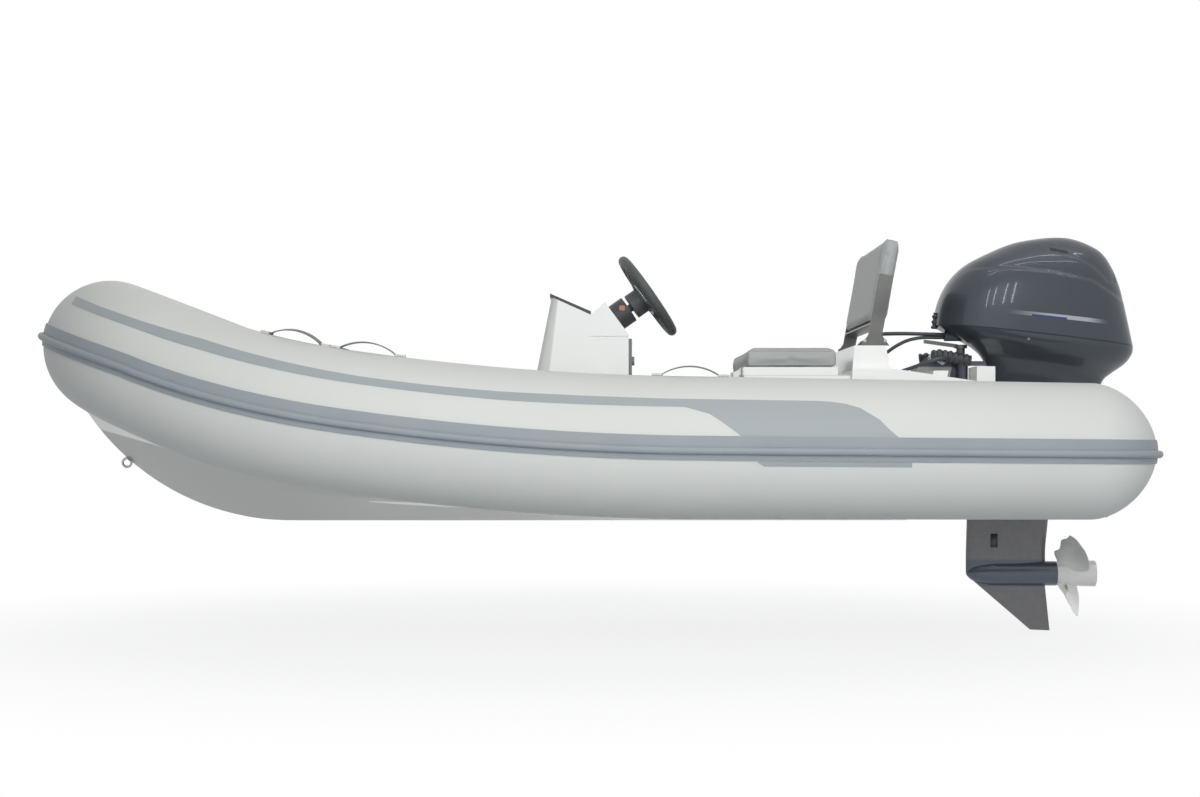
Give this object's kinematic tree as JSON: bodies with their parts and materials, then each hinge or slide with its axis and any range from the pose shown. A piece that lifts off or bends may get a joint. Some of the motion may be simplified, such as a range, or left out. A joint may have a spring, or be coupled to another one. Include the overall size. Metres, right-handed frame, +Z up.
{
  "type": "inflatable rib boat",
  "caption": "Rigid-hulled inflatable tender with console steering, folding helm seat and tilting, steering outboard motor.",
  "frame": {"origin": "on the centreline at the top of the transom's aft face along X, and on the waterline along Z", "axes": "+X to the bow, +Y to port, +Z up"},
  "size_m": [3.7933, 1.866, 1.369],
  "materials": {
    "tube_fabric": "coated fabric, satin",
    "rail_rubber": "matt",
    "hull_gelcoat": "gelcoat",
    "deck_gelcoat": "gelcoat",
    "white_gelcoat": "gelcoat",
    "grey_vinyl": "marine vinyl",
    "black_plastic": "satin",
    "stainless": "polished",
    "engine_paint": "metallic gloss",
    "dark_cast": "plain",
    "white_paint": "gloss"
  },
  "bodies": {
    "root": {"tube_port": "tube_fabric", "tube_starboard": "tube_fabric", "tube_bow": "tube_fabric", "stern_cap_port": "tube_fabric", "stern_cap_starboard": "tube_fabric", "rub_rail_port": "rail_rubber", "rub_rail_starboard": "rail_rubber", "rub_rail_bow": "rail_rubber", "rail_end_port": "rail_rubber", "rail_end_starboard": "rail_rubber", "hull": "hull_gelcoat", "deck": "deck_gelcoat", "transom": "deck_gelcoat", "seat_locker": "white_gelcoat", "aft_moulding": "white_gelcoat", "seat_back_box": "white_gelcoat", "backrest_brackets": "stainless", "console": "white_gelcoat", "console_trim": "black_plastic", "helm": "black_plastic", "bow_locker": "white_gelcoat", "bow_eye": "stainless", "stern_eyes": "stainless", "grab_handles_port": "rail_rubber", "grab_handles_starboard": "rail_rubber", "clamp_brackets": "engine_paint", "tilt_tube": "stainless", "seat_hinges": "stainless", "bow_hinges": "stainless", "console_hatch": "black_plastic", "cable_gland": "black_plastic", "control_cables": "black_plastic", "steering_sleeve": "stainless", "steering_cable": "black_plastic"},
    "seat_lid_body": {"seat_lid": "white_gelcoat", "seat_cushion": "grey_vinyl", "seat_lid_hinges": "stainless"},
    "bow_lid_body": {"bow_lid": "white_gelcoat", "bow_cushion": "grey_vinyl", "bow_lid_hinges": "stainless"},
    "backrest_body": {"backrest_pad": "grey_vinyl", "backrest_arms": "stainless"},
    "helm_wheel_body": {"wheel_rim": "black_plastic", "wheel_spokes": "black_plastic"},
    "engine_tilt_body": {"swivel_bracket": "engine_paint"},
    "engine_steer_body": {"swivel_pin": "engine_paint", "steering_arm": "engine_paint", "leg": "engine_paint", "lower_unit": "engine_paint", "cowl_pan": "engine_paint", "cowl": "engine_paint", "powerhead": "dark_cast", "cable_boot": "rail_rubber"},
    "propeller_body": {"propeller": "white_paint"}
  },
  "joints": [
    {"name": "engine_tilt", "type": "hinge", "parent": "root", "child": "engine_tilt_body", "pos_m": [-0.005, 0, 0.442], "axis": [0, 1, 0], "range_deg": [0, 48], "deforming": ["control_cables"]},
    {"name": "engine_steer", "type": "hinge", "parent": "engine_tilt_body", "child": "engine_steer_body", "pos_m": [-0.085, 0, 0.3], "axis": [0, 0, 1], "range_deg": [-35, 35]},
    {"name": "prop_spin", "type": "hinge", "parent": "engine_steer_body", "child": "propeller_body", "pos_m": [-0.48, 0, -0.306], "axis": [1, 0, 0], "continuous": true},
    {"name": "wheel_turn", "type": "hinge", "parent": "root", "child": "helm_wheel_body", "pos_m": [1.011, 0, 0.665], "axis": [0.8192, 0, -0.5736], "range_deg": [-525, 525]},
    {"name": "backrest_fold", "type": "hinge", "parent": "root", "child": "backrest_body", "pos_m": [0.2627, 0, 0.5036], "axis": [0, 1, 0], "range_deg": [0, 101]},
    {"name": "seat_lid_hinge", "type": "hinge", "parent": "root", "child": "seat_lid_body", "pos_m": [0.7053, 0, 0.375], "axis": [0, -1, 0], "range_deg": [-85, 0]},
    {"name": "bow_lid_hinge", "type": "hinge", "parent": "root", "child": "bow_lid_body", "pos_m": [2.0847, 0, 0.3], "axis": [0, -1, 0], "range_deg": [0, 80]}
  ],
  "couplings": [
    {"joint": "wheel_turn", "follows": "engine_steer", "ratio": 15}
  ]
}
